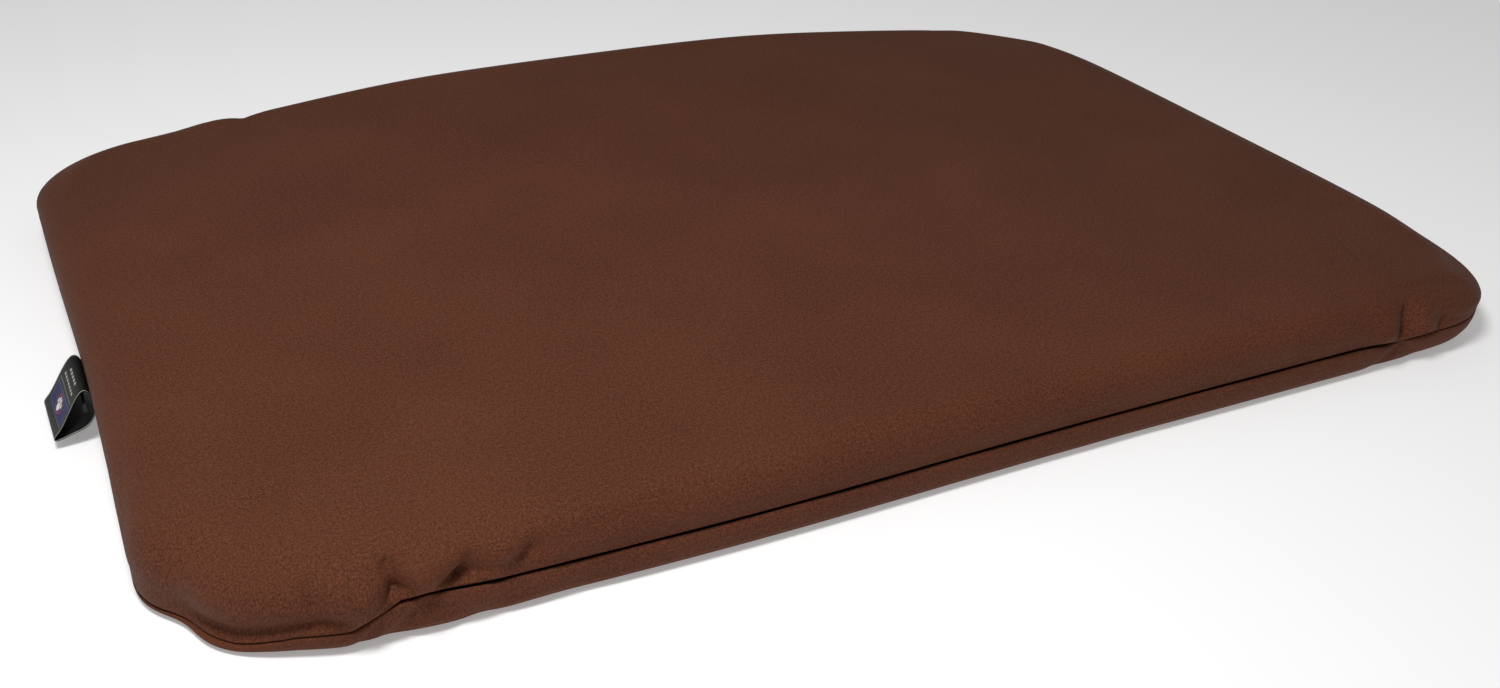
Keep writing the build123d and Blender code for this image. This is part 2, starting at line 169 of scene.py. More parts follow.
def pointed(points):
    """Draws the corners out: a sewn corner is never as round as its cut."""
    x, y = points[..., 0], points[..., 1]
    over_x = np.clip(np.abs(x) - (HALF_LENGTH - CORNER), 0, None)
    over_y = np.clip(np.abs(y) - (HALF_WIDTH - CORNER), 0, None)
    reach = np.hypot(over_x, over_y) / CORNER
    angle = np.arctan2(over_y, over_x + 1e-9)
    blunt = np.sin(2 * angle) ** 1.2 - 0.30 * hump(angle, math.pi / 4, 0.32)
    result = points.copy()
    for (side_x, side_y), amount in CORNER_POINT.items():
        here = (np.sign(x) == side_x) & (np.sign(y) == side_y)
        push = here * amount * blunt * reach**2 * (over_x > 0) * (over_y > 0)
        result[..., 0] += side_x * push * np.cos(angle)
        result[..., 1] += side_y * push * np.sin(angle)
    return result


def zip_share(spots, facings):
    """1 where the front side carries the zip, 0 on plain seam."""
    x = spots[:, 0]
    front = (facings[:, 1] < -0.99).astype(float)
    return front * smooth(ZIP_LEFT - 4, ZIP_LEFT + ZIP_FADE, x) * (
        1.0 - smooth(ZIP_RIGHT - ZIP_FADE, ZIP_RIGHT + 4, x)
    )


# ---- profiles: (inset from the outline, height), from the seam outwards ----------
TOP_TURN_IN_PLAIN = [(5.0, 20.3), (4.4, 20.3), (3.8, 20.3), (3.2, 20.3), (2.6, 20.3)]
TOP_TURN_IN_ZIP = [(10.6, 33.0), (10.6, 27.6), (7.2, 25.4), (6.6, 23.4), (5.2, 22.2)]
TOP_EDGE_PLAIN = [(1.7, 20.3), (0.8, 20.8), (0.3, 21.7), (0.05, 23.2), (0.0, 25.0)]
TOP_EDGE_ZIP = [(4.8, 21.1), (4.0, 21.0), (3.3, 22.0), (2.8, 24.0), (2.2, 26.2)]
LOW_EDGE_PLAIN = [
    (1.7, 19.7), (0.9, 19.2), (0.3, 18.2), (0.1, 16.4), (0.3, 13.0),
    (1.2, 9.0), (3.0, 5.4), (6.0, 2.6), (10.5, 0.9), (16.0, 0.15), (24.0, 0.0),
]
LOW_EDGE_ZIP = [
    (7.0, 17.2), (5.4, 18.4), (3.9, 19.2), (2.6, 18.9), (1.7, 16.9),
    (1.2, 12.4), (1.6, 7.0), (4.0, 3.0), (9.0, 0.7), (15.0, 0.1), (24.0, 0.0),
]
LOW_TURN_IN_PLAIN = [(5.0, 19.7), (4.4, 19.7), (3.8, 19.7), (3.2, 19.7), (2.6, 19.7)]
LOW_TURN_IN_ZIP = [(10.6, 7.5), (10.6, 11.6), (8.8, 13.6), (7.5, 14.8), (7.4, 16.6)]
# the top edge: a steep rounded face, a soft crease over the pad's edge, then the flat
ROLL_KNOTS = [
    (0.1, 27.6), (-0.9, 30.6), (-0.8, 33.8), (0.6, 36.8), (3.8, 39.8), (9.2, 42.9),
    (16.0, 45.6), (22.6, 48.4), (25.6, 49.7), (30.0, 49.8), (38.0, 49.85), (52.0, 49.9),
    (66.0, 49.9),
]
ROLL_TOP = ROLL_KNOTS[-1][1]
ROLL_STEPS = 26


def roll_profile():
    """The rolled top edge as evenly spaced steps along its knots."""
    knots = np.array(ROLL_KNOTS)
    run = np.concatenate([[0], np.cumsum(np.linalg.norm(np.diff(knots, axis=0), axis=1))])
    stops = np.linspace(0, 1, ROLL_STEPS) ** 1.15 * run[-1]
    inset = np.interp(stops, run, knots[:, 0])
    height = np.interp(stops, run, knots[:, 1])
    inset[1:-1] = (inset[:-2] + 2 * inset[1:-1] + inset[2:]) / 4
    height[1:-1] = (height[:-2] + 2 * height[1:-1] + height[2:]) / 4
    return list(zip(inset, height))


ROLL = roll_profile()
# above the zip the face is tucked under its own roll
UNDERCUT = 1.9
ROLL_ZIP = [(inset + UNDERCUT * (1 - smooth(25, 33, height)), height) for inset, height in ROLL]


def crown_height(x, y):
    """Extra height of the top surface away from its rolled edge."""
    along = np.clip(1 - (x / (HALF_LENGTH - 8)) ** 2, 0, 1)
    across = np.clip(1 - (y / (HALF_WIDTH - 8)) ** 2, 0, 1)
    return CROWN * smooth(0.0, 0.75, along) * smooth(0.0, 0.75, across)


def back_rise(x, y):
    """How the top lies higher or lower than even: the back side is fuller than the front."""
    rise = smooth(-310, -130, x) * (1 - smooth(120, 350, x))
    slack = 1 - smooth(-390, -300, x)
    total = smooth(60, 300, y) * (BACK_RISE * rise - CORNER_SLACK * slack)
    for at_x, at_y, reach_x, reach_y, change in TOP_EASE:
        total += change * hump(x, at_x, reach_x) * hump(y, at_y, reach_y)
    return total


def seam_shift(x, y, z):
    """Moves the seam, and the cloth near it, up or down along the slack end of the front."""
    places, shifts = np.array(SEAM_SHIFT).T
    shift = np.interp(x, places, shifts) * (1 - smooth(-235, -130, y))
    near_seam = np.where(z < SEAM_Z, np.clip(z / SEAM_Z, 0, 1), 1 - smooth(SEAM_Z, 46, z))
    return shift * near_seam


def crease(value, centre, width):
    """A sharp fold line of depth 1 at centre."""
    return np.exp(-np.abs(value - centre) / width)


# ---- dents, folds and sags of this cover -------------------------------------------
def shaped(points, facings, spots):
    """Moves points of rings (rows, columns, 3) by the cover's own dents and folds.
    Folds push cloth in or out along the edge's outward direction."""
    x, y, z = points[..., 0], points[..., 1], points[..., 2]
    sx = spots[None, :, 0] + 0 * z
    sy = spots[None, :, 1] + 0 * z
    out_x = facings[None, :, 0] + 0 * z
    out_y = facings[None, :, 1] + 0 * z
    front = smooth(0.55, 0.95, -out_y)
    back = smooth(0.55, 0.95, out_y)
    push = np.zeros_like(z)
    lift = seam_shift(sx, sy, z)
    # small wrinkles in the lower band
    below = 1 - smooth(SEAM_Z - 2, SEAM_Z + 0.5, z)
    for centre, width, depth, lean in (
        (-332, 6, 3.2, 1.4), (-309, 8, 2.6, -1.8), (-352, 5, 2.2, 0.8), (-284, 10, 1.8, 1.6),
        (322, 6, 2.6, 1.0), (343, 7, 2.2, -1.4), (-238, 16, 1.0, 2.0), (120, 22, 0.6, 2.0),
    ):
        push -= front * below * depth * hump(sx, centre + lean * (z - 10), width) * hump(z, 11, 8)
    # the small step in the back edge
    push -= back * 3.0 * hump(sx, -292, 7.0) * smooth(24, 40, z) * (1 - smooth(47, 48.5, z))
    lift -= back * 2.2 * hump(sx, -292, 9.0) * smooth(30, 44, z)
    lift += back_rise(x, y) * smooth(14, 40, z)
    # the front left corner is slack and sags flat; the front right one lifts off the floor
    left_corner = smooth(0.25, 0.75, -out_x) * smooth(0.25, 0.75, -out_y)
    lift -= left_corner * 3.5 * smooth(26, 44, z)
    push -= left_corner * 3.0 * smooth(10, 24, z)
    right_corner = smooth(330, 450, sx) * smooth(180, 300, -sy)
    lift += right_corner * 7.0 * (1 - smooth(12, 30, z))
    moved = points.copy()
    moved[..., 0] = x + push * out_x
    moved[..., 1] = y + push * out_y
    moved[..., 2] = np.maximum(z + lift, 0.0)
    return moved


# folds above the seam: (push out, form, place along x, lean as it rises, width, belt of height)
FOLDS = (
    (4.6, hump, ZIP_LEFT - 6, -8, 10.0, None),
    (3.6, hump, ZIP_LEFT + 22, 0, 7.0, None),
    # the second and third hollows above the zip, and a small wrinkle on the corner's side
    (-11.0, crease, ZIP_LEFT + 36, 14, 8.5, (30, 11)),
    (2.6, hump, ZIP_LEFT + 54, 16, 8.0, None),
    (-5.0, crease, ZIP_LEFT + 66, 18, 9.0, (34, 9)),
    (-5.6, crease, ZIP_LEFT - 28, -10, 3.8, (33, 8)),
    # the pinch at the other end of the zip
    (-8.5, crease, ZIP_RIGHT + 6, 3, 4.6, None),
    (4.4, hump, ZIP_RIGHT + 21, 4, 9.0, None),
    (2.8, hump, ZIP_RIGHT - 11, 0, 9.0, None),
    (-3.6, crease, ZIP_RIGHT + 38, 8, 4.0, (27, 6)),
    # faint long drags in the front roll
    (-0.9, hump, -215, 20, 18, None), (-0.8, hump, -120, -24, 26, None),
    (-0.9, hump, -30, 26, 22, None), (-0.7, hump, 70, 30, 30, None),
    (-0.9, hump, 165, -22, 24, None), (-0.9, hump, 240, 18, 16, None),
    (-0.8, hump, 286, 16, 14, None),
)


def folded(points, facings, spots):
    """Presses the sharp folds and drags into the settled cloth above the seam."""
    x, y, z = points[..., 0], points[..., 1], points[..., 2]
    sx = spots[None, :, 0] + 0 * z
    forward = -facings[None, :, 1] + 0 * z
    front = smooth(0.55, 0.95, forward)
    rise = np.clip((z - SEAM_Z) / 28.0, 0, 1)
    seam = SEAM_Z + np.interp(sx, *np.array(SEAM_SHIFT).T)
    above = smooth(seam + 0.8, seam + 5.5, z) * (1 - smooth(38, 48, z))
    # the main fold, where the zip opening starts, leaning back as it rises
    push = -front * above * 15.0 * crease(sx, ZIP_LEFT + 9 - 2 * rise, 4.4) * (1 - 0.3 * rise)
    for amount, form, centre, lean, width, belt in FOLDS:
        fold = front * above * amount * form(sx, centre + lean * rise, width)
        push += fold if belt is None else fold * hump(z, *belt)
    # the slack corner tucks in over its seam
    slack = smooth(0.3, 0.7, forward) * (1 - smooth(ZIP_LEFT - 30, ZIP_LEFT, sx))
    push -= slack * above * 4.5 * hump(z, seam + 5, 5.5)
    moved = points.copy()
    moved[..., 0] = x + push * facings[None, :, 0]
    moved[..., 1] = y + push * facings[None, :, 1]
    return moved


def rings(plain, zipped, step=COLUMN_STEP, inset=0.0):
    """Rows of points round the cushion for a plain profile and its zip-side version."""
    spots, facings = edge_columns(step)
    share = zip_share(spots, facings)[None, :, None]
    plain = np.array(plain, float)[:, None, :]
    zipped = np.array(zipped, float)[:, None, :]
    profile = plain * (1 - share) + zipped * share
    depth = profile[..., 0] + inset
    plan = spots[None, :, :] - facings[None, :, :] * depth[..., None]
    points = np.concatenate([bowed(plan), profile[..., 1:2]], axis=2)
    return points, spots, facings


LATTICE_MARGIN = 0.55    # least gap between the lattice and its border, in steps


def flat_middle(border, step=LATTICE_STEP, inset=ROLL_IN):
    """Triangles that fill the flat inside a closed border; returns its inner points
    and the triangles, counted from the border's first point."""
    inside = []
    gap = step * LATTICE_MARGIN
    keep_x, keep_y = HALF_LENGTH - inset - gap, HALF_WIDTH - inset - gap
    radius = max(1.0, CORNER - inset - gap)
    columns, rows = (int(extent / step) + 2 for extent in np.ptp(border, axis=0))
    for j in range(-rows // 2, rows // 2 + 1):
        for i in range(-columns // 2, columns // 2 + 1):
            px, py = (i + 0.5 * (j % 2)) * step, j * step * 0.87
            over_x = max(0.0, abs(px) - (keep_x - radius))
            over_y = max(0.0, abs(py) - (keep_y - radius))
            if math.hypot(over_x, over_y) <= radius:
                inside.append((px, py))
    points = [Vector(p) for p in border] + [Vector(p) for p in inside]
    edges = [(i, (i + 1) % len(border)) for i in range(len(border))]
    verts, _, faces, origins, _, _ = delaunay_2d_cdt(points, edges, [], 1, 1e-5)
    order = [o[0] for o in origins]
    return np.array(inside, float), [tuple(order[v] for v in face) for face in faces]


def mesh_object(name, points, faces, material, uv=None):
    """A new smooth-shaded mesh object from millimetre points."""
    mesh = bpy.data.meshes.new(name)
    mesh.from_pydata((np.asarray(points) * MM).tolist(), [], [tuple(map(int, f)) for f in faces])
    mesh.validate()
    if uv is not None:
        layer = mesh.uv_layers.new(name="cloth")
        loops = np.zeros(len(mesh.loops), int)
        mesh.loops.foreach_get("vertex_index", loops)
        layer.data.foreach_set("uv", (np.asarray(uv)[loops] * MM).astype(np.float32).ravel())
    mesh.polygons.foreach_set("use_smooth", [True] * len(mesh.polygons))
    mesh.update()
    result = bpy.data.objects.new(name, mesh)
    bpy.context.scene.collection.objects.link(result)
    if material is not None:
        mesh.materials.append(material)
    return result


def strip_faces(rows, columns, upward=True):
    """Quads between neighbouring rows of closed rings."""
    faces = []
    for r in range(rows - 1):
        for c in range(columns):
            d = (c + 1) % columns
            quad = (r * columns + c, r * columns + d, (r + 1) * columns + d, (r + 1) * columns + c)
            faces.append(quad if upward else quad[::-1])
    return faces


def cloth_lay(ring_points, spots, facings):
    """Where each ring point lies on the uncut cloth: the flat top carried on over the edge."""
    steps = np.linalg.norm(np.diff(ring_points, axis=0), axis=2)
    along = np.concatenate([np.cumsum(steps[::-1], axis=0)[::-1], np.zeros((1, steps.shape[1]))])
    base = spots - facings * ROLL_IN
    return base[None, :, :] + facings[None, :, :] * along[..., None]


# ---- materials -----------------------------------------------------------------------
class Nodes:
    """A short way to write a material's nodes."""

    def __init__(self, name):
        self.material = bpy.data.materials.new(name)
        self.material.use_nodes = True
        self.tree = self.material.node_tree
        self.shader = self.tree.nodes["Principled BSDF"]

    def add(self, kind, **settings):
        node = self.tree.nodes.new(kind)
        for key, value in settings.items():
            setattr(node, key, value)
        return node

    def link(self, source, target):
        self.tree.links.new(source, target)

    def noise(self, where, scale, detail):
        node = self.add("ShaderNodeTexNoise")
        node.inputs["Scale"].default_value = scale
        node.inputs["Detail"].default_value = detail
        self.link(where, node.inputs["Vector"])
        return node.outputs["Fac"]

    def calc(self, operation, a, b):
        """One arithmetic step on sockets or plain numbers."""
        node = self.add("ShaderNodeMath", operation=operation)
        for socket, value in zip(node.inputs, (a, b)):
            if hasattr(value, "links"):
                self.link(value, socket)
            else:
                socket.default_value = value
        return node.outputs[0]


def linear(r, g, b):
    """A colour given as it looks on screen, 0 to 255, as the shader wants it."""
    return tuple(
        (c / 255 / 12.92) if c / 255 <= 0.04045 else ((c / 255 + 0.055) / 1.055) ** 2.4
        for c in (r, g, b)
    ) + (1.0,)


def woven_cloth(name, dark, light, pitch=0.75, roughness=0.78, sheen=0.25, coords="UV", bump=0.35):
    """Plain weave: two sets of fine threads crossing, with mottled dye and faint wear."""
    m = Nodes(name)
    where = m.add("ShaderNodeTexCoord").outputs[coords]
    split = m.add("ShaderNodeSeparateXYZ")
    m.link(where, split.inputs[0])
    turn = 2 * math.pi / (pitch * MM)
    warp = m.calc("SINE", m.calc("MULTIPLY", split.outputs["X"], turn), 0.0)
    weft = m.calc("SINE", m.calc("MULTIPLY", split.outputs["Y"], turn), 0.0)
    weave = m.calc("MULTIPLY", warp, weft)
    slub, cloud = m.noise(where, 950.0, 3.0), m.noise(where, 9.0, 3.0)
    mix_amount = m.calc(
        "ADD",
        m.calc("MULTIPLY", slub, 0.88),
        m.calc("MULTIPLY", cloud, 0.16),
    )
    mix_amount = m.calc("ADD", mix_amount, m.calc("MULTIPLY", weave, 0.10))
    centred = m.calc("SUBTRACT", m.noise(where, 380.0, 1.0), 0.5)
    mix_amount = m.calc("ADD", mix_amount, m.calc("MULTIPLY", centred, 0.22))
    ramp = m.add("ShaderNodeValToRGB")
    ramp.color_ramp.elements[0].position = 0.34
    ramp.color_ramp.elements[0].color = dark
    ramp.color_ramp.elements[1].position = 0.72
    ramp.color_ramp.elements[1].color = light
    m.link(mix_amount, ramp.inputs["Fac"])
    m.link(ramp.outputs["Color"], m.shader.inputs["Base Color"])
    height = m.calc("ADD", weave, m.calc("MULTIPLY", slub, 0.5))
    relief = m.add("ShaderNodeBump")
    relief.inputs["Strength"].default_value = bump
    relief.inputs["Distance"].default_value = 0.0003
    m.link(height, relief.inputs["Height"])
    m.link(relief.outputs["Normal"], m.shader.inputs["Normal"])
    rough = m.calc("ADD", m.calc("MULTIPLY", slub, 0.16), roughness - 0.08)
    m.link(rough, m.shader.inputs["Roughness"])
    m.shader.inputs["Sheen Weight"].default_value = sheen
    m.shader.inputs["Sheen Roughness"].default_value = 0.5
    m.shader.inputs["Specular IOR Level"].default_value = 0.07
    return m.material


chocolate_cloth = woven_cloth(
    "chocolate_cloth", linear(64, 33, 21), linear(114, 66, 45), roughness=0.62, sheen=0.02
)
thread_brown = woven_cloth(
    "thread_brown", linear(58, 32, 25), linear(92, 56, 44), pitch=0.5, coords="Object"
)
tape_brown = woven_cloth("tape_brown", linear(40, 23, 18), linear(70, 42, 33), pitch=0.6, coords="Object")
ribbon_black = woven_cloth(
    "ribbon_black", linear(14, 16, 15), linear(30, 32, 30), pitch=0.3, coords="Object"
)
liner_white = woven_cloth("liner_white", linear(205, 203, 196), linear(236, 234, 228), coords="Object")
wadding_white = woven_cloth(
    "wadding_white", linear(222, 222, 217), linear(246, 246, 243), pitch=3.0, coords="Object"
)


def foam_material():
    """Open-cell foam: a fine pitted surface in pale yellow."""
    m = Nodes("foam_yellow")
    where = m.add("ShaderNodeTexCoord").outputs["Object"]
    cells = m.add("ShaderNodeTexVoronoi")
    cells.inputs["Scale"].default_value = 700.0
    m.link(where, cells.inputs["Vector"])
    ramp = m.add("ShaderNodeValToRGB")
    ramp.color_ramp.elements[0].color = linear(196, 176, 120)
    ramp.color_ramp.elements[1].color = linear(240, 228, 186)
    m.link(cells.outputs["Distance"], ramp.inputs["Fac"])
    m.link(ramp.outputs["Color"], m.shader.inputs["Base Color"])
    relief = m.add("ShaderNodeBump")
    relief.inputs["Strength"].default_value = 0.5
    relief.inputs["Distance"].default_value = 0.0008
    m.link(cells.outputs["Distance"], relief.inputs["Height"])
    m.link(relief.outputs["Normal"], m.shader.inputs["Normal"])
    m.shader.inputs["Roughness"].default_value = 0.95
    return m.material


def painted_metal(name, colour, metallic=0.35, roughness=0.42):
    """Small cast or pressed metal parts with a thin paint, slightly worn."""
    m = Nodes(name)
    where = m.add("ShaderNodeTexCoord").outputs["Object"]
    wear = m.noise(where, 900.0, 4.0)
    ramp = m.add("ShaderNodeValToRGB")
    ramp.color_ramp.elements[0].position = 0.35
    ramp.color_ramp.elements[0].color = colour
    ramp.color_ramp.elements[1].position = 0.8
    ramp.color_ramp.elements[1].color = tuple(min(1.0, c * 1.7 + 0.02) for c in colour[:3]) + (1.0,)
    m.link(wear, ramp.inputs["Fac"])
    m.link(ramp.outputs["Color"], m.shader.inputs["Base Color"])
    rough = m.calc("ADD", m.calc("MULTIPLY", wear, 0.25), roughness - 0.1)
    m.link(rough, m.shader.inputs["Roughness"])
    m.shader.inputs["Metallic"].default_value = metallic
    return m.material


foam_yellow = foam_material()
slider_paint = painted_metal("slider_paint", linear(58, 36, 28))
stop_metal = painted_metal("stop_metal", linear(150, 146, 142), metallic=0.9, roughness=0.35)
coil_nylon = painted_metal("coil_nylon", linear(46, 28, 22), metallic=0.0, roughness=0.5)


# ---- cover panels -----------------------------------------------------------------------
def flat_top(middle, height):
    """Lifts plan points of the flat middle to the top's own height."""
    middle[:, 2] = height + crown_height(middle[:, 0], middle[:, 1])
    middle[:, 2] += back_rise(middle[:, 0], middle[:, 1])


def cover_panel(name, plain, zipped, upper, step):
    """One cover panel: rings from its turned-in edge to the flat, then the flat itself."""
    points, spots, facings = rings(plain, zipped)
    lay = cloth_lay(points, spots, facings)
    if upper:
        crown = crown_height(points[..., 0], points[..., 1])
        points[..., 2] += crown * smooth(40, 47, points[..., 2])
    points = shaped(points, facings, spots)
    row_count, columns = points.shape[:2]
    inside, triangles = flat_middle(spots - facings * ROLL_IN, step=step)
    middle = bowed(np.concatenate([inside, np.zeros((len(inside), 1))], axis=1))
    if upper:
        flat_top(middle, ROLL_TOP)
    first, shift = (row_count - 1) * columns, row_count * columns - columns
    faces = strip_faces(row_count, columns, upward=upper)
    for tri in triangles:
        face = tuple(first + v if v < columns else shift + v for v in tri)
        faces.append(face if upper else face[::-1])
    uv = np.concatenate([lay.reshape(-1, 2), inside])
    cloth = np.concatenate([points.reshape(-1, 3), middle])
    return mesh_object(name, cloth, faces, chocolate_cloth, uv)


def build_cover_top():
    plain = TOP_TURN_IN_PLAIN + TOP_EDGE_PLAIN + ROLL
    zipped = TOP_TURN_IN_ZIP + TOP_EDGE_ZIP + ROLL_ZIP
    return cover_panel("cover_top_cloth", plain, zipped, True, LATTICE_STEP)


def build_cover_bottom():
    plain = LOW_TURN_IN_PLAIN + LOW_EDGE_PLAIN + [(ROLL_IN, 0.0)]
    zipped = LOW_TURN_IN_ZIP + LOW_EDGE_ZIP + [(ROLL_IN, 0.0)]
    return cover_panel("cover_base_cloth", plain, zipped, False, BASE_LATTICE_STEP)


def give_thickness(piece, thickness=CLOTH_THICK):
    solid = piece.modifiers.new("cloth thickness", "SOLIDIFY")
    solid.thickness = thickness * MM
    solid.offset = -1.0
    return piece


SETTLE_FRAMES = 20
SETTLE_CAP = 5.0
SPARE_CLOTH = 0.045      # share by which the cloth of the rolled front is cut too long


def vertex_group(piece, name, weights):
    group = piece.vertex_groups.new(name=name)
    for index, weight in enumerate(weights):
        group.add([index], float(weight), "REPLACE")
    return group.name


def settle_cloth(piece, held, spare):
    """Swells the cloth over its pad with a short cloth simulation. Points keep their place
    as far as held says, and spare says where the cloth has length to spare."""
    mesh = piece.data
    start = np.empty(len(mesh.vertices) * 3, np.float32)
    mesh.vertices.foreach_get("co", start)
    start = start.reshape(-1, 3)
    cloth = piece.modifiers.new("settling", "CLOTH")
    settings = cloth.settings
    settings.quality = 6
    settings.mass = 0.25
    settings.tension_stiffness = 15.0
    settings.compression_stiffness = 15.0
    settings.shear_stiffness = 6.0
    settings.bending_stiffness = 0.25
    settings.use_pressure = True
    settings.uniform_pressure_force = 4.0
    settings.vertex_group_mass = vertex_group(piece, "held", held)
    settings.vertex_group_shrink = vertex_group(piece, "spare", spare)
    settings.shrink_min = 0.0
    settings.shrink_max = -SPARE_CLOTH
    settings.effector_weights.gravity = 0.0
    cloth.point_cache.frame_start = 1
    cloth.point_cache.frame_end = SETTLE_FRAMES
    for step in range(1, SETTLE_FRAMES + 1):
        bpy.context.scene.frame_set(step)
    settled = piece.evaluated_get(bpy.context.evaluated_depsgraph_get())
    moved = np.empty(len(mesh.vertices) * 3, np.float32)
    settled.data.vertices.foreach_get("co", moved)
    shift = moved.reshape(-1, 3) - start
    far = np.linalg.norm(shift, axis=1, keepdims=True)
    limit = SETTLE_CAP * MM
    shift *= np.where(far > limit, limit / np.maximum(far, 1e-9), 1.0)
    piece.modifiers.remove(cloth)
    mesh.vertices.foreach_set("co", (start + shift).ravel())
    mesh.update()
    bpy.context.scene.frame_set(1)
    print("settled", piece.name, "furthest", round(float(far.max()) / MM, 2), "mm")
    return piece


def settle_top(piece):
    """The seam stays sewn and the flat middle stays where the foam holds it."""
    spots = np.empty(len(piece.data.vertices) * 3, np.float32)
    piece.data.vertices.foreach_get("co", spots)
    x, y, z = spots.reshape(-1, 3).T / MM
    edge = np.minimum(HALF_LENGTH - np.abs(x), HALF_WIDTH - np.abs(y))
    sewn = 1 - smooth(SEAM_Z + 2, SEAM_Z + 9, z)
    flat = smooth(19, 46, edge)
    held = np.clip(np.maximum(sewn, 0.9 * flat), 0.0, 1.0)
    front = 1 - smooth(-HALF_WIDTH + 50, -HALF_WIDTH + 90, y)
    spare = (0.35 + 0.65 * front) * (1 - smooth(14, 30, edge))
    return settle_cloth(piece, held, spare)


def press_folds(piece):
    """Moves the rolled edge of the settled top by its folds."""
    spots, facings = edge_columns()
    row_count = len(TOP_TURN_IN_PLAIN) + len(TOP_EDGE_PLAIN) + len(ROLL)
    count = row_count * len(spots)
    places = np.empty(len(piece.data.vertices) * 3, np.float32)
    piece.data.vertices.foreach_get("co", places)
    places = places.reshape(-1, 3)
    ring_points = places[:count].reshape(row_count, -1, 3).astype(float) / MM
    places[:count] = (folded(ring_points, facings, spots) * MM).reshape(-1, 3)
    piece.data.vertices.foreach_set("co", places.ravel())
    piece.data.update()
    return piece


cover_top_cloth = give_thickness(press_folds(settle_top(build_cover_top())))
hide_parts("cover_top_panel")
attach(cover_top_cloth, "cushion")

cover_base_cloth = give_thickness(build_cover_bottom())
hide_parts("cover_bottom_panel")
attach(cover_base_cloth, "cushion")

# ---- the pad inside the cover ------------------------------------------------------------
PAD_BACK = 7.0           # how far the pad stands back from the cover, plain and at the zip
PAD_BACK_ZIP = 13.0


def pad_rows(depth):
    """The cushion's side profile, moved inwards by depth, from the underside to the top."""
    low = [r for r in LOW_EDGE_PLAIN[::-1] if r[1] < 18] + [(0.0, 20.0)]
    rows = np.array(low + [TOP_EDGE_PLAIN[-1]] + ROLL)
    along = np.gradient(rows, axis=0)
    inward = np.stack([along[:, 1], -along[:, 0]], axis=1)
    inward /= np.linalg.norm(inward, axis=1)[:, None]
    return rows + inward * depth


def pad_layer(name, depth, part, material, coarse=11.0, lattice=26.0):
    """One layer of the pad as a cloth surface: its upper half, its lower half or all of it.
    Behind the zip the pad stands back."""
    rows = pad_rows(depth)
    if part == "upper":
        rows = rows[rows[:, 1] >= 20.6]
    if part == "lower":
        rows = rows[rows[:, 1] <= 19.4]
    set_back = rows.copy()
    set_back[:, 0] += PAD_BACK_ZIP * (1 - smooth(38, 48, rows[:, 1]))
    rows[:, 0] += PAD_BACK * (1 - smooth(38, 48, rows[:, 1]))
    points, spots, facings = rings(rows, set_back, step=coarse)
    top_share = smooth(40 - depth, 47 - depth, points[..., 2])
    points[..., 2] += crown_height(points[..., 0], points[..., 1]) * top_share
    points = shaped(points, facings, spots)
    row_count, columns = points.shape[:2]
    faces = strip_faces(row_count, columns)
    pieces_of = [points.reshape(-1, 3)]
    total = row_count * columns
    for end, wanted in (("top", part != "lower"), ("bottom", part != "upper")):
        if not wanted:
            continue
        ring = row_count - 1 if end == "top" else 0
        inset = rows[-1][0] if end == "top" else rows[0][0]
        inside, triangles = flat_middle(spots - facings * inset, step=lattice, inset=inset)
        middle = bowed(np.concatenate([inside, np.zeros((len(inside), 1))], axis=1))
        if end == "top":
            flat_top(middle, rows[-1][1])
        else:
            middle[:, 2] = rows[0][1]
        for tri in triangles:
            face = tuple(ring * columns + v if v < columns else total - columns + v for v in tri)
            faces.append(face if end == "top" else face[::-1])
        pieces_of.append(middle)
        total += len(middle)
    return mesh_object(name, np.concatenate(pieces_of), faces, material)


def build_pad():
    layers = (
        ("pad_liner_upper", 2.8, "upper", liner_white, 0.4, "liner_top", "liner_cloth"),
        ("pad_liner_lower", 2.8, "lower", liner_white, 0.4, "liner_bottom", "liner_cloth"),
        ("pad_wadding_upper", 3.8, "upper", wadding_white, 4.6, "wadding_top", "wadding"),
        ("pad_wadding_lower", 3.8, "lower", wadding_white, 4.6, "wadding_bottom", "wadding"),
        ("pad_foam", 9.2, "whole", foam_yellow, 0.0, "foam_core", "foam"),
    )
    for name, depth, part, material, thickness, node, slot in layers:
        piece = pad_layer(name, depth, part, material)
        if thickness:
            give_thickness(piece, thickness)
        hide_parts(node)
        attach(piece, "cushion")


build_pad()

# ---- the folded label ----------------------------------------------------------------------
LABEL_BACK_Y = -22.5
LABEL_FRONT_Y = -67.5
LABEL_KNOTS = [
    (-6.0, 20.6), (-5.2, 24.0), (-4.0, 28.4), (-1.2, 30.6), (2.6, 27.8), (7.6, 21.2), (13.2, 13.2),
    (17.6, 8.6), (18.9, 6.4), (18.0, 5.2), (13.8, 6.0), (8.0, 8.0), (3.0, 9.2), (-1.5, 11.8),
    (-4.5, 15.4), (-6.0, 19.4),
]
LABEL_SKEW = 10.0        # the upper layer is sewn in further back than the lower one
LABEL_WIDTH = 45.0
LABEL_ROWS = 96
LABEL_LANES = 18


def smooth_path(knots, count):
    """Evenly spaced points along a soft curve through the knots."""
    knots = np.array(knots, float)
    for _ in range(4):
        ends = knots[:1], knots[-1:]
        quarter = 0.75 * knots[:-1] + 0.25 * knots[1:]
        three = 0.25 * knots[:-1] + 0.75 * knots[1:]
        woven = np.empty((2 * len(quarter), 2))
        woven[0::2], woven[1::2] = quarter, three
        knots = np.concatenate([ends[0], woven, ends[1]])
    run = np.concatenate([[0], np.cumsum(np.linalg.norm(np.diff(knots, axis=0), axis=1))])
    stops = np.linspace(0, run[-1], count)
    return np.stack([np.interp(stops, run, knots[:, i]) for i in (0, 1)], axis=1), run[-1]


